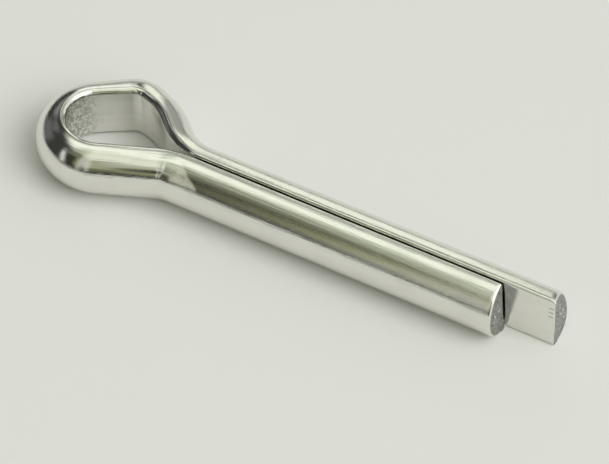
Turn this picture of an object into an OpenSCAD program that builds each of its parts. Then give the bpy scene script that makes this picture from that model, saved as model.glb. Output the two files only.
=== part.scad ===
// Cotter pin: one half-round wire folded double, flat against flat, with an eye at the fold.
//
// The shank axis is +X, towards the tips, and the pin lies flat with Z up.
// X = 0 is where both prongs first run straight, so a full round shank starts there.
// The front prong is at -Y and is the short one; the back prong is at +Y.

/* [Wire] */

// Diameter of the closed shank, over both prongs
shank_d = 4.45; // [3:0.05:6]

// Gap left between the flats of the two prongs
prong_gap = 0.26; // [0.06:0.02:0.6]

// Radius rolled along the two long edges of the wire
edge_round = 0.13; // [0.05:0.01:0.3]

/* [Prongs] */

// Short prong, from the start of the round shank to its cut end
short_prong = 22.2; // [8:0.1:80]

// How far the long prong runs on past the short one
long_step = 3.55; // [0:0.05:8]

// Lean of the short prong's cut, its lower side further out
short_lean = 7.4; // [0:0.1:20]

// Lean of the long prong's cut, its lower side further out
long_lean = 5.1; // [0:0.1:20]

// Radius that the shear blade draws over the upper edge of a cut
roll_over = 0.22; // [0.05:0.01:0.6]

/* [Necks] */

// The prongs start to part at one place. Ahead of the neck that lies further back, the wire
// opens by this much.
ease_turn = 1; // [0.4:0.1:3]

/* [Eye, front side] */

// Bend radius of the front neck, on its round side
front_neck_r = 0.98; // [0.4:0.02:4]

// Angle at which the front side leaves the shank
front_turn = 22.2; // [10:0.1:40]

// Straight length of the front side
front_side = 4.11; // [1:0.01:12]

// Inner radius where the front side starts round the far end
entry_r = 2.62; // [1:0.02:6]

// Turn made on that radius
entry_turn = 57.3; // [30:0.1:70]

/* [Eye, far end] */

// Inner radius of the nose, which makes what turn the other bends leave
nose_r = 2.13; // [1:0.01:5]

/* [Eye, back side] */

// Inner radius of the corner between the far end and the back side
corner_r = 0.99; // [0.4:0.01:3]

// Turn made at the corner
corner_turn = 58.5; // [40:0.1:70]

// Straight shoulder after the corner
shoulder = 0.75; // [0.2:0.01:4]

// Inner radius of the bow in the back side
bow_r = 4.31; // [2:0.01:12]

// Turn made by the bow
bow_turn = 21.2; // [5:0.1:35]

// Straight length of the back side, down to its neck
back_side = 0.83; // [0.2:0.01:6]

// Bend radius of the back neck, on its round side
back_neck_r = 3.3; // [0.6:0.02:6]

// Angle at which the back side meets the shank
back_turn = 44.2; // [30:0.1:55]

/* [Hidden] */

$fn = 96;

steel = [0.74, 0.74, 0.71];

shank_r = shank_d / 2;
half_gap = prong_gap / 2;
// thickness of the half-round wire, from its flat to the top of its round side
wire_t = shank_r - half_gap;

// Lengths of the wire lap into one another, and where two meet one of them is slimmer by a
// hair, so that no two surfaces lie on top of each other.
lap = 0.02;
hair = 0.005;

// ---- the half-round section: x is outwards from the flat, y is up ----
// s is how much slimmer than full size the section is

// where the centre of an edge lies, seen from the shank axis: the edge just reaches both the
// flat and the round side
function edge_out(s) = shank_r - s - 0.995 * edge_round;
function edge_turn(s) = acos((half_gap + s + 0.995 * edge_round) / edge_out(s));
function edge_z(s) = edge_out(s) * sin(edge_turn(s));

// the whole half height of the full section
rise = edge_z(0) + edge_round;

module half_round(s) {
    intersection() {
        // the round side, struck from the shank axis
        translate([-half_gap, 0]) circle(shank_r - s);
        // the flat
        translate([s, -shank_d]) square(2 * shank_d);
        // the body, and its two rolled edges
        translate([-half_gap, 0]) union() {
            intersection_for (side = [-1, 1]) rotate(side * edge_turn(s))
                translate([-shank_d, -(1 + side) / 2 * shank_d]) square([2 * shank_d, shank_d]);
            for (side = [-1, 1]) rotate(side * edge_turn(s)) translate([edge_out(s), 0])
                circle(edge_round);
            translate([0, -edge_z(s)])
                square([half_gap + s + 1.3 * edge_round, 2 * edge_z(s)]);
        }
    }
}

// ---- how the eye closes ----

// the nose takes up the turn that the other bends leave
nose_turn = 180 + front_turn + back_turn - entry_turn - corner_turn - bow_turn;

// headings round the eye, the wire coming off the front prong towards -X
on_front = 180 + front_turn;
on_nose = on_front - entry_turn;
on_far = on_nose - nose_turn;
on_shoulder = on_far - corner_turn;
on_back = on_shoulder - bow_turn;

// unit vector along a heading, and the chord of a bend of radius r from heading a to b
function along(a) = [cos(a), sin(a)];
function chord(r, a, b) = sign(b - a) * r * [sin(b) - sin(a), cos(a) - cos(b)];

// How far the eye takes the flat of the wire, with the front and back necks turning by f and b.
// Its far side is left out, and so is the ease.
function eye_run(f, b) = chord(front_neck_r + wire_t, on_front - f, on_front)
    + front_side * along(on_front)
    + chord(entry_r, on_front, on_nose) + chord(nose_r, on_nose, on_far)
    + chord(corner_r, on_far, on_shoulder) + shoulder * along(on_shoulder)
    + chord(bow_r, on_shoulder, on_back) + back_side * along(on_back)
    + chord(back_neck_r + wire_t, on_back, on_back + b);

// What is left to do to bring the back prong home, one gap above the front one, is done by the
// ease and the far side. close() says how long both are, for an ease that leads along q.
function close(q, run) = let (t = along(on_far), m = [0, prong_gap] - run,
        d = q[0] * t[1] - q[1] * t[0])
    [(m[0] * t[1] - m[1] * t[0]) / d, (q[0] * m[1] - q[1] * m[0]) / d];

// the chord of an ease one unit long, on the front prong and on the back one
ease_rad = ease_turn * PI / 180;
front_unit = chord(1 / ease_rad, 180, 180 + ease_turn);
back_unit = chord(1 / ease_rad, -ease_turn, 0);

// the ease is on the front prong unless that would make it less than nothing
on_front_prong = close(front_unit, eye_run(front_turn - ease_turn, back_turn));
on_back_prong = close(back_unit, eye_run(front_turn, back_turn - ease_turn));
eased_front = on_front_prong[0] > 0;
front_ease = eased_front ? ease_turn : 0;
back_ease = eased_front ? 0 : ease_turn;
ease_len = eased_front ? on_front_prong[0] : on_back_prong[0];
far_side = eased_front ? on_front_prong[1] : on_back_prong[1];

// The eye, step by step: [length, radius, turn, hairs]. A straight has no turn and a bend no
// length. A positive turn bends the wire towards its round side, as the necks do; a negative
// one keeps the flat inside. Of the two eases, one has no turn and no length.
eye_path = [
    [0, ease_len / ease_rad, front_ease, 1],
    [0, front_neck_r + wire_t, front_turn - front_ease, 2],
    [front_side, 0, 0, 0],
    [0, entry_r, -entry_turn, 1],
    [0, nose_r, -nose_turn, 0],
    [far_side, 0, 0, 1],
    [0, corner_r, -corner_turn, 0],
    [shoulder, 0, 0, 1],
    [0, bow_r, -bow_turn, 0],
    [back_side, 0, 0, 1],
    [0, back_neck_r + wire_t, back_turn - back_ease, 2],
    [0, ease_len / ease_rad, back_ease, 1]
];

// ---- lengths of wire: each starts at the origin along +X, flat on Y = 0, round side to +Y ----

// a straight, lapping by a at its start and b at its end
module straight(len, s, a, b) {
    translate([-a, 0, 0]) rotate([90, 0, 90]) linear_extrude(len + a + b) half_round(s);
}

module bend(r, turn, s, a, b) {
    la = a / r * 180 / PI;
    lb = b / r * 180 / PI;
    if (turn > 0)
        translate([0, r, 0]) rotate_extrude(start = -90 - la, angle = turn + la + lb)
            translate([r, 0]) mirror([1, 0]) half_round(s);
    else
        translate([0, -r, 0]) rotate_extrude(start = 90 + turn - lb, angle = la + lb - turn)
            translate([r, 0]) half_round(s);
}

// everything behind a sheared end, seen from the side: the face leans through [len, 0], and
// its upper edge is drawn over to the roll-over radius
module behind_cut(len, lean) {
    roll_x = -roll_over;
    roll_z = (rise - 0.95 * roll_over + roll_over * sin(lean)) / cos(lean);
    translate([len, 0]) rotate(lean) {
        polygon([
            [-len - shank_d, -2 * shank_d], [0, -2 * shank_d], [0, roll_z], [roll_x, roll_z],
            [roll_x + roll_over * sin(lean), 2 * shank_d], [-len - shank_d, 2 * shank_d]
        ]);
        translate([roll_x, roll_z]) circle(roll_over);
    }
}

// a prong, cut off at len
module prong(len, lean) {
    intersection() {
        straight(len + shank_d, 0, 0, 0);
        rotate([90, 0, 0]) translate([0, 0, -shank_d]) linear_extrude(2 * shank_d)
            behind_cut(len, lean);
    }
}

// where a step of the path that starts at p with heading h leads
function step_end(p, h, q) = q[2] == 0 ? p + q[0] * along(h) : p + chord(q[1], h, h + q[2]);

// hairs taken off a step; the prongs at either end of the eye are full size
function hairs(i) = i < 0 || i >= len(eye_path) ? 0 : eye_path[i][3];

module eye(p, h, i) {
    q = eye_path[i];
    a = hairs(i) > hairs(i - 1) ? lap : 0;
    b = hairs(i) > hairs(i + 1) ? lap : 0;
    if (q[0] != 0 || q[2] != 0) translate([p[0], p[1], 0]) rotate([0, 0, h])
        if (q[2] == 0) straight(q[0], q[3] * hair, a, b);
        else bend(q[1], q[2], q[3] * hair, a, b);
    if (i < len(eye_path) - 1) eye(step_end(p, h, q), h + q[2], i + 1);
}

module cotter_pin() color(steel) {
    // short prong, in front
    translate([0, -half_gap, 0]) mirror([0, 1, 0]) prong(short_prong, short_lean);
    // the eye, from the front neck round to the back one
    eye([0, -half_gap], 180, 0);
    // long prong, behind
    translate([0, half_gap, 0]) prong(short_prong + long_step, long_lean);
}

cotter_pin();
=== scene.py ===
import bpy
import numpy as np
from mathutils import Matrix, Vector


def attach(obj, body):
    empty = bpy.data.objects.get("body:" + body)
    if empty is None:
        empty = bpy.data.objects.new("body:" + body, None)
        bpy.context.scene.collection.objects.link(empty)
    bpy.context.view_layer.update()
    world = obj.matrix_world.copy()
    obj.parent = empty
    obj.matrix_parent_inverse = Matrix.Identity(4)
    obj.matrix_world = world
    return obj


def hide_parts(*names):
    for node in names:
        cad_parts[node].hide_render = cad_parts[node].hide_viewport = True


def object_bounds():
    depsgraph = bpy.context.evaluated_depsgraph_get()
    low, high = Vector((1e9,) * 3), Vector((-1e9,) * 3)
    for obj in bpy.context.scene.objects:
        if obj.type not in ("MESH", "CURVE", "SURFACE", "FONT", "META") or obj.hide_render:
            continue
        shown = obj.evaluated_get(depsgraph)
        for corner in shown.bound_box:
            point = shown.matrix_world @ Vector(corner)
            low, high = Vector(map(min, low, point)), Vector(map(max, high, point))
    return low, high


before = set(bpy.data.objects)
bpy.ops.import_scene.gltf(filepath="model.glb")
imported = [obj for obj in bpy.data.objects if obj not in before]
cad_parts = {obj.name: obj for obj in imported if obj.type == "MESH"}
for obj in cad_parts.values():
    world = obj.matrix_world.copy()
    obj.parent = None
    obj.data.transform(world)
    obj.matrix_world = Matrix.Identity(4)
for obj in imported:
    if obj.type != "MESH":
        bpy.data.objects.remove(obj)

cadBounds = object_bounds()
mm = 0.001
scene = bpy.context.scene
scene.view_settings.view_transform = "Standard"


view = {
    "place": (47.38, -83.37, 113.39),  # mm, where the lens is
    "azimuth": -64.6,                  # degrees, from the aim point to the lens
    "elevation": 51.1,
    "roll": 2.2,
    "lens": 130.3,                     # mm
    "sensor": 36.0,
    "clip": (0.005, 20),               # m
}


def lookMatrix(right, up, back, place):
    # the matrix whose columns are three axes and a place
    m = Matrix((right, up, back)).transposed().to_4x4()
    m.translation = place
    return m


def cameraMatrix(v):
    # back = the direction at the azimuth and elevation, right = Z x back, up = back x right;
    # then right and up are turned about back by the roll
    az, el, roll = np.radians([v["azimuth"], v["elevation"], v["roll"]])
    back = Vector((np.cos(az) * np.cos(el), np.sin(az) * np.cos(el), np.sin(el)))
    level = Vector((0, 0, 1)).cross(back).normalized()
    upright = back.cross(level)
    right = np.cos(roll) * level + np.sin(roll) * upright
    up = -np.sin(roll) * level + np.cos(roll) * upright
    return lookMatrix(right, up, back, Vector(v["place"]) * mm)


camData = bpy.data.cameras.new("lens")
camData.lens = view["lens"]
camData.sensor_fit = "HORIZONTAL"
camData.sensor_width = view["sensor"]
camData.clip_start, camData.clip_end = view["clip"]
cam = bpy.data.objects.new("viewCamera", camData)
scene.collection.objects.link(cam)
cam.matrix_world = cameraMatrix(view)
scene.camera = cam
print("camera set")


wire = {                      # mm and degrees
    "shankD": 4.45,           # the round that both prongs make together
    "gap": 0.26,              # between the flats
    "edgeR": 0.21,            # edges of the prongs, as drawn
    "eyeEdgeR": 0.36,         # and softer round the eye, where the wire was bent
    "eyeEnd": 1.2,            # how far before the end of the back neck the eye's edge stops
    "eyeSoft": 0.9,           # over how far one edge turns into the other, to each side
    "hollow": 0.06,           # how far the flat dips between its edges
    "shortProng": 22.2,
    "longStep": 3.55,         # how much longer the long prong is
    "shortLean": 7.4,         # the cuts, from square
    "longLean": 5.1,
    "shearRun": 4.0,          # how far back from a cut its lean is felt
    "easeTurn": 1.0,          # from here round the eye in order: inner radii, turns, straights
    "frontNeckR": 0.98, "frontTurn": 22.2, "frontSide": 4.11,
    "entryR": 2.62, "entryTurn": 57.3,
    "noseR": 2.13,
    "cornerR": 0.99, "cornerTurn": 58.5,
    "shoulder": 0.75,
    "bowR": 4.31, "bowTurn": 21.2,
    "backSide": 0.83,
    "backNeckR": 3.3, "backTurn": 44.2,
    "prongStep": 0.26,        # spacing of the rings of points along a prong
    "eyeStep": 0.058,         # and round the eye
    "neckRun": 0.9,           # the same spacing starts this far down each prong
    "tipStep": 0.045,         # and over the last stretch before a cut
    "tipRun": 1.3,
    "roundPoints": 66, "edgePoints": 10, "flatPoints": 44,
    "roundAngles": (78, 112), # where the round side ends, as the angle that the surface faces
    "flatAngles": (140, 172), # where the flat begins
}


def profile(w, e):
    # The section: a circle struck from the shank axis, cut by the flat, with a small radius
    # at both edges that runs smoothly into each. The flat is a shallow hollow: out = -hollow *
    # (height / half width)^2. Gives points (out, up), their normals, and the distance round
    # the girth, from the lower edge out, up and back across the flat.
    r, g, k = w["shankD"] / 2, w["gap"] / 2, w["hollow"]
    turn = np.arccos((g - k + e) / (r - e))
    edgeUp = (r - e) * np.sin(turn)
    nr, ne, nf = w["roundPoints"], w["edgePoints"], w["flatPoints"]
    share = 0.5 * (1 - np.cos(np.linspace(0, np.pi, nf + 1)))[:-1]  # closer at the edges
    flatUp = edgeUp - 2 * edgeUp * share
    a = np.concatenate([
        np.pi + np.linspace(0, np.pi - turn, ne, endpoint=False),   # lower edge
        np.linspace(-turn, turn, nr, endpoint=False),               # round side
        np.linspace(turn, np.pi, ne, endpoint=False)])              # upper edge
    order = np.arange(len(a))
    isRound = (order >= ne) & (order < ne + nr)
    side = np.where(order < ne + nr // 2, -1.0, 1.0)
    out = np.where(isRound, r * np.cos(a) - g, e - k + e * np.cos(a))
    up = np.where(isRound, r * np.sin(a), side * edgeUp + e * np.sin(a))
    out = np.concatenate([out, -k * (flatUp / edgeUp) ** 2])
    up = np.concatenate([up, flatUp])
    flatSlope = -2 * k * flatUp / edgeUp ** 2
    nOut = np.concatenate([np.cos(a), -1 / np.hypot(1, flatSlope)])
    nUp = np.concatenate([np.sin(a), flatSlope / np.hypot(1, flatSlope)])
    ring = np.hypot(np.diff(out, append=out[0]), np.diff(up, append=up[0]))
    girth = np.concatenate([[0], np.cumsum(ring)])
    return out, up, nOut, nUp, girth


def chord(r, a, b):
    # from the start to the end of a bend that turns the heading from a to b:
    # radius * (sin b - sin a, cos a - cos b), with the sign of the turn
    return np.sign(b - a) * r * np.array([np.sin(b) - np.sin(a), np.cos(a) - np.cos(b)])


def eyeSteps(w):
    # The steps of the wire round the eye, each name: (length or radius, turn). The chords of
    # all steps have to add up to one gap across, from the short prong's flat to the long
    # one's. The ease and the far side are as long as makes that so: two lengths from two
    # equations. The necks bend about the round side, so their radius grows by the thickness.
    d = np.radians
    thick = w["shankD"] / 2 - w["gap"] / 2
    noseTurn = (180 + w["frontTurn"] + w["backTurn"] - w["entryTurn"] - w["cornerTurn"]
                - w["bowTurn"])
    steps = {
        "ease": (1 / d(w["easeTurn"]), w["easeTurn"]),      # 1 mm long, until it is solved
        "frontNeck": (w["frontNeckR"] + thick, w["frontTurn"] - w["easeTurn"]),
        "frontSide": (w["frontSide"], 0),
        "entry": (w["entryR"], -w["entryTurn"]),
        "nose": (w["noseR"], -noseTurn),
        "farSide": (1.0, 0),                                # and so is this
        "corner": (w["cornerR"], -w["cornerTurn"]),
        "shoulder": (w["shoulder"], 0),
        "bow": (w["bowR"], -w["bowTurn"]),
        "backSide": (w["backSide"], 0),
        "backNeck": (w["backNeckR"] + thick, w["backTurn"]),
    }
    heading, moves = 180.0, {}
    for name, (size, turn) in steps.items():
        if turn:
            moves[name] = chord(size, d(heading), d(heading + turn))
        else:
            moves[name] = size * np.array([np.cos(d(heading)), np.sin(d(heading))])
        heading += turn
    rest = sum(move for name, move in moves.items() if name not in ("ease", "farSide"))
    need = np.array([0, w["gap"]]) - rest
    ease, far = np.linalg.solve(np.array([moves["ease"], moves["farSide"]]).T, need)
    steps["ease"] = (steps["ease"][0] * ease, w["easeTurn"])
    steps["farSide"] = (far, 0)
    return steps


def prongRings(w, length):
    # distances of a prong's rings from its tip: close near the cut and before the eye
    close, again = w["tipRun"], length - w["neckRun"]
    return np.concatenate([
        np.linspace(0, close, round(close / w["tipStep"]), endpoint=False),
        np.linspace(close, again, round((again - close) / w["prongStep"]), endpoint=False),
        np.linspace(again, length, round(w["neckRun"] / w["eyeStep"]) + 1)])


def carryPath(w):
    # Places, headings, outward directions and distances at every ring, from the short tip
    # round the eye to the long tip, and where each step begins and ends. A straight runs along
    # its heading and a bend turns it evenly, so place = start + the chord of the turn so far.
    d = np.radians
    longProng = w["shortProng"] + w["longStep"]
    steps = {"short": (w["shortProng"], 0), **eyeSteps(w), "long": (longProng, 0)}
    place, head, run, bounds = [], [], [], {}
    start, heading, before = np.array([w["shortProng"], -w["gap"] / 2]), 180.0, 0.0
    for name, (size, turn) in steps.items():
        length = size * abs(d(turn)) if turn else size
        if name == "short":
            s = prongRings(w, length)
        elif name == "long":
            s = length - prongRings(w, length)[::-1]
        else:
            s = np.linspace(0, length, max(3, round(length / w["eyeStep"])) + 1)
        if name != "long":
            s = s[:-1]                                      # the next step has that ring
        if turn:
            now = d(heading) + s / length * d(turn)
            move = np.sign(turn) * size * np.c_[np.sin(now) - np.sin(d(heading)),
                                                np.cos(d(heading)) - np.cos(now)]
            end = start + chord(size, d(heading), d(heading + turn))
        else:
            now = d(heading) + 0 * s
            ahead = np.array([np.cos(d(heading)), np.sin(d(heading))])
            move = s[:, None] * ahead
            end = start + length * ahead
        place.append(start + move)
        head.append(now)
        run.append(before + s)
        bounds[name] = (before, before + length)
        start, heading, before = end, heading + turn, before + length
    place, head, run = np.concatenate(place), np.concatenate(head), np.concatenate(run)
    return place, head, np.c_[-np.sin(head), np.cos(head)], run, bounds


def gridFaces(rows, cols):
    # four-sided faces between neighbouring rings, each ring closed on itself: point number =
    # ring * points in a ring + place in the ring
    i = np.arange(rows - 1)[:, None] * cols
    j = np.arange(cols)[None, :]
    k = (j + 1) % cols
    return np.stack([i + j, i + k, i + cols + k, i + cols + j], axis=-1).reshape(-1, 4)


def smooth(x, a, b):
    # 0 at a, 1 at b, 3t^2 - 2t^3 between
    t = np.clip((x - a) / (b - a), 0, 1)
    return t * t * (3 - 2 * t)


def within(x, a, b, soft):
    # 1 between a and b and 0 outside, each end a smooth step from soft before to soft after
    return smooth(x, a - soft, a + soft) * (1 - smooth(x, b - soft, b + soft))


def ripple(x, y, size, seed, waves=48, longest=2.4, even=1.6):
    # A mottled height: the sum of cosines of many waves that run in all directions, from one to
    # longest times the size, over the square root of half as many waves, and over even. Most of
    # it lies between -1 and 1, and the highest crests reach about 2.5.
    rng = np.random.default_rng(seed)
    turn = rng.uniform(0, 2 * np.pi, waves)
    rate = 2 * np.pi / (size * rng.uniform(1.0, longest, waves))
    phase = rng.uniform(0, 2 * np.pi, waves)
    height = 0 * (x + y)
    for t, k, p in zip(turn, rate, phase):
        height = height + np.cos(k * (np.cos(t) * x + np.sin(t) * y) + p)
    return height / np.sqrt(waves / 2) / even


crispOut, crispUp, crispNOut, crispNUp, girth = profile(wire, wire["edgeR"])
softOut, softUp, softNOut, softNUp, _ = profile(wire, wire["eyeEdgeR"])
place, head, outward, run, bounds = carryPath(wire)
rings, cols = len(run), len(crispOut)
wireLength = run[-1]
print("wire: %d rings of %d points, %.1f mm long" % (rings, cols, wireLength))

# the section of each ring: a blend of the crisp one of the prongs and the softer one of the eye
eye = within(run, bounds["frontNeck"][0], bounds["backNeck"][1] - wire["eyeEnd"],
             wire["eyeSoft"])[:, None]
out = (1 - eye) * crispOut + eye * softOut
up = (1 - eye) * crispUp + eye * softUp
nOut = (1 - eye) * crispNOut + eye * softNOut
nUp = (1 - eye) * crispNUp + eye * softNUp
angle = np.degrees(np.arctan2(crispNUp, crispNOut))[None, :]  # 0 is straight out, 180 the flat
flatSide = smooth(np.abs(angle), *wire["flatAngles"])
roundSide = 1 - smooth(np.abs(angle), *wire["roundAngles"])
s2, g2 = run[:, None], girth[None, :-1]


# Marks and lumps of this pin, in mm and degrees. A stretch is (from, to, softness) along the
# wire from the short tip, and a ripple is (height, size, seed).
dents = {
    "cornerBulge": (38.9, 1.5, 0.17),         # the flat swells: middle, half length, height
    "bulgeReach": 1.6,                        # thickness of metal that the swelling takes in
    "dieLine": (5.83, 0.075, 0.007),          # place round the girth, half width, depth
    "dieLineRun": (-5, 24.6, 1.0),
    "dieWaves": [(0.83, 0.00066, 0.4, 0),     # long waves from the drawing die: width, height,
                 (0.47, 0.000528, 2.1, 0),    # and phase and wander, both in radians
                 (0.31, 0.000462, 0, 0.25)],
    "wanderRun": 3.1,                         # along the wire, for each radian of its sine
    "peel": (0.0010, 0.5, 5),                 # roughening of the round side at the tight bends
    "peelRuns": [(22.6, 25.6, 0.7), (29.2, 36.4, 0.6), (38.4, 42.2, 0.6)],
    "noseRun": (32.2, 35.9, 1.1),             # the crushed flat inside the nose
    "crumples": [(0.009, 0.21, 11), (0.012, 0.5, 12)],
    "flatRipple": (0.0022, 0.8, 13),          # slow unevenness of the flat past the nose
    "flatRippleLong": 0.6,                    # its squeeze along the wire, under 1 is longer
    "flatRippleRun": (36.8, 46.5, 0.8),
    "shortLip": (0.28, 0.13, 62, 96),         # rolled edge at a cut: length, depth, and the
    "longLip": (0.40, 0.16, 96, 160),         # angles between which it fades
    "longTwist": 0.085,                       # how much more the long cut leans, for each mm out
    "burr": 0.06,                             # how far the lower edge is drawn out at a cut
    "burrRun": 0.3,
    "burrAngles": (-165, -70, 14),            # the lower edge: from, to, softness
    "burrRagged": (0.5, 0.25, 21),
}

neckSwelling = {                              # the same units
    "slope": 0.078,                           # how fast it rises along the wire
    "start": 21.6, "top": 23.6, "end": 29.6,
    "startLag": 0.05,                         # the start moves on by this much for each degree
    "startLagFrom": 34, "startLagSpan": 40,   # past the first angle, for so many degrees
    "topLag": 0.9, "topLagAngles": (38, 46),
    "soft": 0.08,                             # rounding of the crest
    "middle": 40,                             # the angle where it is highest
    "fade": (62, 86),
}


def neckSwell(s, facing, n):
    # The metal gathered inside the front neck's bend. It rises as slope * the lesser of the way
    # past the start and the way from start to top. The lesser of a and b is a soft one:
    # -soft * ln(e^(-a / soft) + e^(-b / soft)). From the top it falls smoothly to the end, and
    # round the girth it goes as cos^2 of the angle from the middle.
    start = n["start"] + n["startLag"] * np.clip(facing - n["startLagFrom"], 0, n["startLagSpan"])
    top = n["top"] + n["topLag"] * smooth(facing, *n["topLagAngles"])
    past = np.clip(s - start, 0, None)
    rise = -n["soft"] * np.logaddexp(-past / n["soft"], -(top - start) / n["soft"])
    fall = 1 - smooth(s, top, n["end"])
    turned = np.cos(np.radians(np.clip(facing - n["middle"], -90, 90))) ** 2
    return n["slope"] * rise * fall * turned * (1 - smooth(facing, *n["fade"]))


# the bulge inside the corner, a bell along the wire: height * e^(-(distance / half)^2)
at, half, high = dents["cornerBulge"]
nearFlat = np.clip(1 - out / dents["bulgeReach"], 0, 1) ** 2
out = out - high * np.exp(-((s2 - at) / half) ** 2) * nearFlat

# mark is the height of all the other marks, outward from the surface
at, half, high = dents["dieLine"]
mark = -high * np.exp(-((g2 - at) / half) ** 2) * within(s2, *dents["dieLineRun"])
for width, high, phase, wander in dents["dieWaves"]:
    sway = wander * np.sin(s2 / dents["wanderRun"])
    mark = mark + high * np.cos(g2 * 2 * np.pi / width + phase + sway) * roundSide
high, size, seed = dents["peel"]
bends = sum(within(s2, *stretch) for stretch in dents["peelRuns"])
mark = mark + high * bends * roundSide * ripple(s2, g2, size, seed)
nose = within(s2, *dents["noseRun"]) * flatSide
for high, size, seed in dents["crumples"]:
    mark = mark + high * nose * ripple(s2, g2, size, seed)
high, size, seed = dents["flatRipple"]
uneven = ripple(s2 * dents["flatRippleLong"], g2, size, seed)
mark = mark + high * flatSide * within(s2, *dents["flatRippleRun"]) * uneven
for fromCut, lip in ((s2, dents["shortLip"]), (wireLength - s2, dents["longLip"])):
    # the rolled lip, a quarter ellipse: inward = depth * (1 - sqrt(1 - nearness^2))
    lipRun, lipIn, fade, gone = lip
    near = np.clip(1 - fromCut / lipRun, 0, 1)
    mark = mark - lipIn * (1 - np.sqrt(1 - near ** 2)) * (1 - smooth(np.abs(angle), fade, gone))
mark = mark + neckSwell(s2, angle, neckSwelling)

out = out + mark * nOut
up = up + mark * nUp
pos = np.empty((rings, cols, 3))
pos[:, :, :2] = place[:, None, :] + out[:, :, None] * outward[:, None, :]
pos[:, :, 2] = up
along = np.c_[np.cos(head), np.sin(head), 0 * head]

# sheared ends: a ring near a cut moves along the wire by the tangent of the lean * height,
# more the nearer it is, and the long cut leans more the further out
shortNear = np.clip(1 - run / wire["shearRun"], 0, 1) ** 2
longNear = np.clip(1 - (wireLength - run) / wire["shearRun"], 0, 1) ** 2
shift = (np.tan(np.radians(wire["shortLean"])) * shortNear
         - np.tan(np.radians(wire["longLean"])) * longNear)[:, None] * pos[:, :, 2]
shift = shift - dents["longTwist"] * longNear[:, None] * out * pos[:, :, 2]
# burrs: the lower edge is drawn out, unevenly, at each cut
ragged, size, seed = dents["burrRagged"]
low = within(angle, *dents["burrAngles"]) * (1 + ragged * ripple(0 * s2, g2, size, seed))
shift = shift - dents["burr"] * low * np.clip(1 - s2 / dents["burrRun"], 0, 1) ** 2
shift = shift + dents["burr"] * low * np.clip(1 - (wireLength - s2) / dents["burrRun"], 0, 1) ** 2
pos += shift[:, :, None] * along[:, None, :]


cut = {                            # mm: the torn ends
    "fracture": 0.05,              # the unit of the torn metal's height
    "rings": 22,                   # rings of points from the rim to the middle
    "crowd": 0.85,                 # under 1 puts them closer together towards the middle
    "tornFrom": (1.2, 0.2),        # the upper part was sheared smooth and tears below this
    "calm": 0.35,                  # how rough the smooth part is, beside the torn one
    "grains": [(1.0, 0.17), (0.8, 0.42)],   # strength, size
    "sunk": 0.6,                   # how far the whole lies back, in those units
    "rimSoft": 0.12,               # share of the way in where the roughness begins
    "shortSeed": 31, "longSeed": 41,
}


def endCap(rim, facing, rimFirst, capFirst, seed, c):
    # Rings that shrink from the rim to its middle, place = middle + (rim - middle) * (1 - t),
    # and stand proud along the cut's facing by the height of the torn metal. Gives the points,
    # and four-sided and three-sided faces, from the numbers of the first points of each.
    n, depth = len(rim), c["rings"]
    middle = rim.mean(axis=0)
    t = np.linspace(0, 1, depth + 1)[1:-1] ** c["crowd"]
    body = middle + (rim[None] - middle) * (1 - t)[:, None, None]
    y, z = body[..., 1], body[..., 2]
    grain = sum(strength * ripple(y, z, size, seed + i)
                for i, (strength, size) in enumerate(c["grains"]))
    torn = c["calm"] + (1 - c["calm"]) * smooth(z, *c["tornFrom"])
    rough = (smooth(t, 0, c["rimSoft"])[:, None] * (torn * grain - c["sunk"]))[..., None]
    body = body + c["fracture"] * rough * facing
    points = np.concatenate([body.reshape(-1, 3), body[-1].mean(axis=0)[None]])
    numbers = capFirst + np.arange((depth - 1) * n).reshape(depth - 1, n)
    rows = np.concatenate([rimFirst + np.arange(n)[None], numbers])
    turned = np.roll(rows, -1, axis=1)
    quads = np.stack([rows[:-1], turned[:-1], turned[1:], rows[1:]], -1).reshape(-1, 4)
    tris = np.stack([rows[-1], turned[-1], np.full(n, capFirst + (depth - 1) * n)], -1)
    return points, quads, tris


tubePts, tubeQuads = pos.reshape(-1, 3), gridFaces(rings, cols)
shortPts, shortQuads, shortTris = endCap(pos[0], -along[0], 0, len(tubePts),
                                         cut["shortSeed"], cut)
longPts, longQuads, longTris = endCap(pos[-1], along[-1], (rings - 1) * cols,
                                      len(tubePts) + len(shortPts), cut["longSeed"], cut)
shortQuads, shortTris = shortQuads[:, ::-1], shortTris[:, ::-1]   # so that they face outward
allPts = np.concatenate([tubePts, shortPts, longPts]) * mm
allQuads = np.concatenate([tubeQuads, shortQuads, longQuads])
allTris = np.concatenate([shortTris, longTris])
corners = np.concatenate([allQuads.ravel(), allTris.ravel()])
nq, nt = len(allQuads), len(allTris)
starts = np.concatenate([np.arange(nq) * 4, nq * 4 + np.arange(nt) * 3])
isCut = np.arange(nq + nt) >= len(tubeQuads)

mesh = bpy.data.meshes.new("pinWire")
mesh.vertices.add(len(allPts))
mesh.vertices.foreach_set("co", allPts.ravel())
mesh.loops.add(len(corners))
mesh.loops.foreach_set("vertex_index", corners.astype(np.int32))
mesh.polygons.add(nq + nt)
mesh.polygons.foreach_set("loop_start", starts.astype(np.int32))
mesh.polygons.foreach_set("material_index", isCut.astype(np.int32))
mesh.polygons.foreach_set("use_smooth", np.ones(nq + nt, bool))

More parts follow.
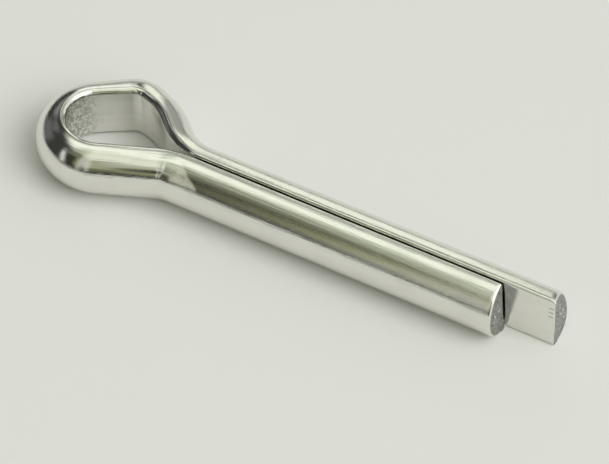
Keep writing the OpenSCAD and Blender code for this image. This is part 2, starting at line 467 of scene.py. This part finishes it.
# The wire's own map, in mm: u goes round the girth and v along the wire. A cut's is its own
# place, across and up.
tubeUV = np.empty((rings - 1, cols, 4, 2))
tubeUV[..., 0] = np.stack([girth[:-1], girth[1:], girth[1:], girth[:-1]], -1)[None]
tubeUV[:, :, :2, 1] = run[:-1, None, None]
tubeUV[:, :, 2:, 1] = run[1:, None, None]
cutUV = allPts[corners[len(tubeQuads) * 4:]][:, 1:] / mm
wireMap = mesh.uv_layers.new(name="wireMap")
wireMap.data.foreach_set(
    "uv", np.concatenate([tubeUV.reshape(-1, 2), cutUV]).ravel().astype(np.float32))
# where the nose is crushed; the plating darkens there, partly as painted dark reflection
noseCrushPaintedDark = np.concatenate([nose.ravel(), np.zeros(len(allPts) - len(tubePts))])
mesh.attributes.new("noseCrushPaintedDark", "FLOAT", "POINT").data.foreach_set("value", noseCrushPaintedDark.astype(np.float32))
mesh.update()
mesh.validate()
pin = bpy.data.objects.new("pinWire", mesh)
scene.collection.objects.link(pin)
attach(pin, "root")
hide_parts("cotter_pin")
print("pin mesh made")


def group(name, inputs, outputs):
    # an empty shader node group with float inputs and outputs
    g = bpy.data.node_groups.new(name, "ShaderNodeTree")
    for n, v in inputs:
        g.interface.new_socket(n, in_out="INPUT", socket_type="NodeSocketFloat").default_value = v
    for n in outputs:
        g.interface.new_socket(n, in_out="OUTPUT", socket_type="NodeSocketFloat")
    return g, g.nodes.new("NodeGroupInput"), g.nodes.new("NodeGroupOutput")


def node(tree, kind, inputs=None, **settings):
    # a node with its settings; inputs are given by name or number, as numbers or sockets
    n = tree.nodes.new(kind)
    for key, value in settings.items():
        setattr(n, key, value)
    for key, value in (inputs or {}).items():
        if isinstance(value, bpy.types.NodeSocket):
            tree.links.new(value, n.inputs[key])
        else:
            n.inputs[key].default_value = value
    return n


def maths(tree, operation, *values, clamp=False):
    # one sum on numbers or sockets
    return node(tree, "ShaderNodeMath", dict(enumerate(values)),
                operation=operation, use_clamp=clamp).outputs[0]


def mapped(tree, value, low, high, toLow=0.0, toHigh=1.0, kind="LINEAR"):
    # low to high becomes toLow to toHigh, and the value stays between those
    return node(tree, "ShaderNodeMapRange", {"Value": value, "From Min": low, "From Max": high,
                                             "To Min": toLow, "To Max": toHigh},
                interpolation_type=kind).outputs[0]


def mixed(tree, factor, a, b, label=""):
    # colour a where the factor is 0 and b where it is 1
    return node(tree, "ShaderNodeMix", {"Factor": factor, "A": a, "B": b},
                data_type="RGBA", label=label).outputs["Result"]


def noise(tree, vector, scale, detail, rough=0.5):
    # cloudy noise about 0.5, finer with more scale, detail and rough
    return node(tree, "ShaderNodeTexNoise", {"Vector": vector, "Scale": scale, "Detail": detail,
                                             "Roughness": rough}).outputs["Fac"]


def bumped(tree, height, strength, depth, normal=None):
    # a height of depth mm, laid over the bumps that normal has already
    under = {"Normal": normal} if normal else {}
    return node(tree, "ShaderNodeBump", {"Height": height, "Strength": strength,
                                         "Distance": depth * mm, **under}).outputs[0]


def wireStreaks():
    # Streaks along the wire, from the wire's own map in mm: noise that is squeezed round the
    # girth and stretched along the run. Height is for bumps, Cloud for colour and roughness.
    g, gin, gout = group("wireStreaks", [("Girth Scale", 9.0), ("Run Scale", 0.35), ("Seed", 0.0)],
                         ["Height", "Cloud"])
    uv = node(g, "ShaderNodeUVMap", uv_map="wireMap")
    both = node(g, "ShaderNodeSeparateXYZ", {0: uv.outputs[0]})
    u = maths(g, "MULTIPLY", both.outputs["X"], gin.outputs["Girth Scale"])
    v = maths(g, "MULTIPLY", both.outputs["Y"], gin.outputs["Run Scale"])
    at = node(g, "ShaderNodeCombineXYZ", {"X": u, "Y": v, "Z": gin.outputs["Seed"]}).outputs[0]
    g.links.new(noise(g, at, 1.0, 3.0, 0.6), gout.inputs["Height"])
    g.links.new(noise(g, at, 0.21, 2.0, 0.55), gout.inputs["Cloud"])
    return g


streakGroup = wireStreaks()


def streaks(tree, sizes):
    # the streaks with their own values: scale round the girth, scale along the run, seed
    return node(tree, "ShaderNodeGroup", dict(enumerate(sizes)), node_tree=streakGroup)


def toolTicks(tree, t):
    # 1 on a few short marks along the wire: cos(2 pi (girth - first) / step) near 1, inside
    # a small rectangle of the wire's map
    uv = node(tree, "ShaderNodeUVMap", uv_map="wireMap")
    both = node(tree, "ShaderNodeSeparateXYZ", {0: uv.outputs[0]})
    turn = 2 * np.pi / t["step"]
    phase = maths(tree, "MULTIPLY_ADD", both.outputs["X"], turn, -t["first"] * turn)
    lines = mapped(tree, maths(tree, "COSINE", phase), *t["edge"])
    middle = t["first"] + t["across"] / 2 - t["step"] / 4
    inGirth = maths(tree, "COMPARE", both.outputs["X"], middle, t["across"] / 2)
    inRun = maths(tree, "COMPARE", both.outputs["Y"], wireLength - t["fromCut"], t["half"])
    return maths(tree, "MULTIPLY", lines, maths(tree, "MULTIPLY", inGirth, inRun))


def metal(name):
    # a bare metal: the material, its tree and its shader
    m = bpy.data.materials.new(name)
    m.use_nodes = True
    shader = m.node_tree.nodes["Principled BSDF"]
    shader.inputs["Metallic"].default_value = 1
    return m, m.node_tree, shader


plating = {                                # scales are per metre, or per mm in the streaks
    "colour": (0.81, 0.81, 0.765, 1),
    "dull": (0.70, 0.70, 0.665, 1),        # where the plating has clouded
    "wornAndPaintedDark": (0.36, 0.36, 0.345, 1),        # where it is crushed inside the nose, darkened there partly as painted dark reflection
    "rough": 0.085, "roughSpread": 0.10,
    "lines": (9.0, 0.35, 0.0),             # drawn lines: scale round, scale along, seed
    "hairs": (26.0, 0.9, 4.0),             # and finer ones
    "lineStrength": 0.42,
    "lineDepth": 0.02, "hairDepth": 0.006, # mm
    "clouds": (420.0, 3.0), "cloudRange": (0.42, 0.72),
    "streakRange": (0.35, 0.75),
    "specks": (4400.0, 4.0, 0.65), "speckRange": (0.44, 0.58),
    "hurtStrength": 0.5, "hurtDepth": 0.01,
    "ticks": {                             # tool marks beside the long cut, mm
        "first": 7.70, "step": 0.43,       # round the girth
        "across": 1.0,                     # how far they go on
        "fromCut": 0.30, "half": 0.16,     # middle and half length, along the wire
        "edge": (0.55, 0.9),               # cosines at a mark's edge and in its middle
    },
}


def zincMaterial(p):
    # bright zinc plate: drawn lines, and duller where clouds and streaks meet; crushed to darker
    # specks inside the nose, whose darkness is partly painted dark reflection, and where a tool
    # ticked it
    m, t, shader = metal("brightZinc")
    lines = streaks(t, p["lines"])
    hairs = streaks(t, p["hairs"])
    where = node(t, "ShaderNodeTexCoord").outputs["Object"]
    noseCrushAndPaintedDark = node(t, "ShaderNodeAttribute", attribute_name="noseCrushPaintedDark").outputs["Fac"]
    haze = mapped(t, noise(t, where, *p["clouds"]), *p["cloudRange"])
    streak = mapped(t, lines.outputs["Cloud"], *p["streakRange"])
    dull = maths(t, "MULTIPLY", haze, streak)
    # crushed specks inside the nose, darkened partly as painted dark reflection
    crushSpotsAndPaintedDark = maths(t, "MULTIPLY", mapped(t, noise(t, where, *p["specks"]), *p["speckRange"]), noseCrushAndPaintedDark)
    both = maths(t, "ADD", dull, crushSpotsAndPaintedDark, clamp=True)
    hurtAndPaintedDark = maths(t, "MAXIMUM", crushSpotsAndPaintedDark, toolTicks(t, p["ticks"]))
    colour = mixed(t, hurtAndPaintedDark, mixed(t, both, p["colour"], p["dull"]), p["wornAndPaintedDark"])
    rough = mapped(t, both, 0, 1, p["rough"], p["rough"] + p["roughSpread"])
    drawn = bumped(t, lines.outputs["Height"], p["lineStrength"], p["lineDepth"])
    drawn = bumped(t, hairs.outputs["Height"], p["lineStrength"], p["hairDepth"], drawn)
    t.links.new(colour, shader.inputs["Base Color"])
    t.links.new(rough, shader.inputs["Roughness"])
    t.links.new(bumped(t, hurtAndPaintedDark, p["hurtStrength"], p["hurtDepth"], drawn), shader.inputs["Normal"])
    return m


steel = {
    "colour": (0.56, 0.56, 0.55, 1),
    # the darker tone of the torn steel: partly its own, partly painted dark reflection
    "darkAndPaintedReflection": (0.22, 0.22, 0.215, 1),
    "rough": 0.22, "roughSpread": 0.24, "roughRange": (0.3, 0.7),
    "tone": (2200.0, 4.0, 0.7),
    "grains": 7000.0,
    "grainStrength": 0.9, "grainDepth": 0.06,   # mm
    "lines": (6.0, 1.2, 2.0),
    "lineStrength": 0.3, "lineDepth": 0.02,
}


def steelMaterial(p):
    # sheared steel: torn, sparkling grains over fine scratches, in a random tone whose darker end
    # is partly painted dark reflection
    m, t, shader = metal("shearedSteel")
    where = node(t, "ShaderNodeTexCoord").outputs["Object"]
    grains = node(t, "ShaderNodeTexVoronoi", {"Vector": where, "Scale": p["grains"]})
    tone = noise(t, where, *p["tone"])
    rough = mapped(t, tone, *p["roughRange"], p["rough"], p["rough"] + p["roughSpread"])
    lines = streaks(t, p["lines"]).outputs["Height"]
    scratched = bumped(t, lines, p["lineStrength"], p["lineDepth"])
    torn = bumped(t, grains.outputs["Distance"], p["grainStrength"], p["grainDepth"], scratched)
    t.links.new(mixed(t, tone, p["darkAndPaintedReflection"], p["colour"]), shader.inputs["Base Color"])
    t.links.new(rough, shader.inputs["Roughness"])
    t.links.new(torn, shader.inputs["Normal"])
    return m


mesh.materials.append(zincMaterial(plating))
mesh.materials.append(steelMaterial(steel))
print("materials made")


studio = {
    "floor": (0.80, 0.80, 0.79, 1),
    "floorRough": 0.9, "floorShine": 0.1,
    "floorHalf": 3.0,                      # m
    "key": {"towards": (1, -0.1, 1.0), "distance": 1.2, "size": (0.8, 0.8),    # m
            "level": 2.6, "colour": (1.0, 1.0, 0.98)},
    "air": (0.048, 0.048, 0.044, 1),
    "leanFrom": 25,                        # elevation where a leaning panel is at its azimuth
    # Panels of light and shade round the room. Each has its edges in azimuth, low and high, and
    # in elevation, low and high, every edge with its softness; then its lean, in degrees of
    # azimuth for each degree of elevation; then its colour. A later one lies over an earlier.
    "panels": [
        ("ceiling", None, None, (58, 5), (200, 10), 0, (1.08, 1.12, 0.98)),
        ("ceilingMid", (-147, 5), (-109, 2), (60, 4), (78, 6), 0, (0.56, 0.60, 0.47)),
        ("ceilingFront", (-134, 6), (-109, 2), (50, 7), (62, 4), 0, (0.34, 0.36, 0.26)),
        ("rightSide", (-56, 13), (70, 8), (-40, 20), (80, 14), 0, (0.84, 0.84, 0.82)),
        ("rightHigh", (-50, 5), (24, 6), (28, 6), (76, 5), 0, (1.35, 1.36, 1.28)),
        ("frontHigh", (-109, 2), (-48, 2), (50, 5), (200, 10), 0, (0.88, 0.91, 0.76)),
        ("frontOlive", (-109, 2), (-48, 2), (17, 14), (49, 4), 0, (0.32, 0.325, 0.17)),
        ("neckPale", (-104.2, 1.0), (-84.5, 2.5), (22, 5), (52, 5), 0, (0.60, 0.61, 0.54)),
        ("frontCream", (-92, 4), (-77, 3), (22, 4), (46, 4), 0, (0.43, 0.44, 0.33)),
        ("neckFoot", (-104.2, 1.0), (-98, 1.5), (7, 12), (32, 5), 0, (0.56, 0.57, 0.50)),
        ("frameLight", (-91, 1.5), (-86, 1.5), (8, 4), (52, 4), 0, (0.70, 0.72, 0.64)),
        ("frameDark", (-98.5, 0.8), (-96.5, 0.8), (8, 4), (52, 4), 0, (0.40, 0.41, 0.37)),
        ("olive", (-134, 4), (-105.5, 1.5), (41, 7), (56, 8), 0, (0.18, 0.185, 0.13)),
        ("backMid", (96, 3), (118, 2), (35, 2), (52, 2), 0, (0.20, 0.205, 0.18)),
        ("backHigh", (98, 2), (124, 2), (51, 2.5), (71, 3), 0, (0.46, 0.48, 0.42)),
        ("backLeft", (124, 2), (158, 6), (58, 2), (72, 3), 0, (0.42, 0.44, 0.38)),
        ("leftWall", (132, 3), (158, 6), (21, 3), (38, 5), 0, (0.24, 0.24, 0.24)),
        ("leftHigh", (160, 6), (190, 6), (33, 5), (46, 5), 0, (0.15, 0.15, 0.155)),
        ("leftSide", (166, 6), (200, 6), (2, 5), (30, 8), 0, (0.14, 0.14, 0.145)),
        ("leftTurn", (-200, 6), (-164, 6), (2, 5), (30, 8), 0, (0.14, 0.14, 0.145)),
        ("backFoot", (74, 4), (112, 2), (-8, 4), (12, 5), 0, (0.27, 0.28, 0.26)),
        ("windowRight", (99.2, 1), (112, 1), (6, 3), (36, 2), 0.05, (1.02, 1.05, 0.92)),
        ("windowMid", (117, 1), (124, 1), (11, 4), (60, 4), 0, (0.62, 0.64, 0.58)),
        ("windowHigh", (117, 1), (124, 1), (30, 3), (60, 4), 0, (1.00, 1.04, 0.92)),
        ("windowLeft", (122.5, 1), (131.5, 1.5), (16, 4), (44, 2), 0, (1.25, 1.28, 1.20)),
        ("sill", (112, 2), (134, 4), (-8, 4), (12, 3), 0, (0.34, 0.35, 0.33)),
        ("backWall", (84, 3), (99, 2), (8, 3), (24, 3), 0, (0.38, 0.39, 0.36)),
        ("backRight", (70, 6), (99, 1), (24, 3), (54, 5), 0, (0.46, 0.47, 0.42)),
        ("shade", (-126, 1.5), (-111, 1.5), (-6, 4), (40, 4), 0, (0.04, 0.04, 0.03)),
        ("strip", (-135, 1.5), (-129.5, 1), (6, 3), (38, 12), -0.37, (1.0, 1.04, 1.0)),
    ],
}


def floorMaterial(s):
    # matt paint, the same all over
    m = bpy.data.materials.new("floorPaint")
    m.use_nodes = True
    shader = m.node_tree.nodes["Principled BSDF"]
    shader.inputs["Base Color"].default_value = s["floor"]
    shader.inputs["Roughness"].default_value = s["floorRough"]
    shader.inputs["Specular IOR Level"].default_value = s["floorShine"]
    return m


floorMesh = bpy.data.meshes.new("floor")
floorZ, far = cadBounds[0][2], studio["floorHalf"]
square = [(-far, -far, floorZ), (far, -far, floorZ), (far, far, floorZ), (-far, far, floorZ)]
floorMesh.from_pydata(square, [], [(0, 1, 2, 3)])
floorMesh.materials.append(floorMaterial(studio))
floor = bpy.data.objects.new("floor", floorMesh)
scene.collection.objects.link(floor)


def airStep(tree, x, middle, soft):
    # 0 below middle - soft, 1 above middle + soft, smooth between
    return mapped(tree, x, middle - soft, middle + soft, kind="SMOOTHSTEP")


def airBetween(tree, x, low, high):
    # a step up at the low edge times one less a step up at the high edge
    falling = maths(tree, "SUBTRACT", 1, airStep(tree, x, *high))
    return maths(tree, "MULTIPLY", airStep(tree, x, *low), falling)


def lightRoom(tree, s):
    # The colour of the air in each direction: azimuth = atan2(y, x) and elevation = asin(z), in
    # degrees. A panel's mask is 1 inside its edges and lays its colour over what is there.
    where = node(tree, "ShaderNodeTexCoord").outputs["Generated"]
    parts = node(tree, "ShaderNodeSeparateXYZ", {0: where}).outputs
    azimuth = maths(tree, "MULTIPLY", maths(tree, "ARCTAN2", parts["Y"], parts["X"]), 180 / np.pi)
    elevation = maths(tree, "MULTIPLY", maths(tree, "ARCSINE", parts["Z"]), 180 / np.pi)
    colour = s["air"]
    for name, azLow, azHigh, elLow, elHigh, lean, paint in s["panels"]:
        mask = airBetween(tree, elevation, elLow, elHigh)
        if azLow:
            a = azimuth
            if lean:
                above = maths(tree, "SUBTRACT", elevation, s["leanFrom"])
                a = maths(tree, "SUBTRACT", azimuth, maths(tree, "MULTIPLY", above, lean))
            mask = maths(tree, "MULTIPLY", mask, airBetween(tree, a, azLow, azHigh))
        colour = mixed(tree, mask, colour, (*paint, 1), label=name)
    tree.links.new(colour, tree.nodes["Background"].inputs["Color"])
    tree.nodes["Background"].inputs["Strength"].default_value = 1.0


def softbox(name, s):
    # a rectangular lamp that faces the pin, as bright as level: power = level * pi * area
    data = bpy.data.lights.new(name, "AREA")
    data.shape = "RECTANGLE"
    data.size, data.size_y = s["size"]
    data.energy = s["level"] * np.pi * s["size"][0] * s["size"][1]
    data.color = s["colour"]
    lamp = bpy.data.objects.new(name, data)
    scene.collection.objects.link(lamp)
    back = Vector(s["towards"]).normalized()
    upAxis = back.cross(Vector((1, 0, 0))).normalized()
    side = upAxis.cross(back).normalized()
    lamp.matrix_world = lookMatrix(side, upAxis, back, back * s["distance"])


world = bpy.data.worlds.new("studioAir")
scene.world = world
world.use_nodes = True
lightRoom(world.node_tree, studio)
softbox("rightKey", studio["key"])
print("studio made")
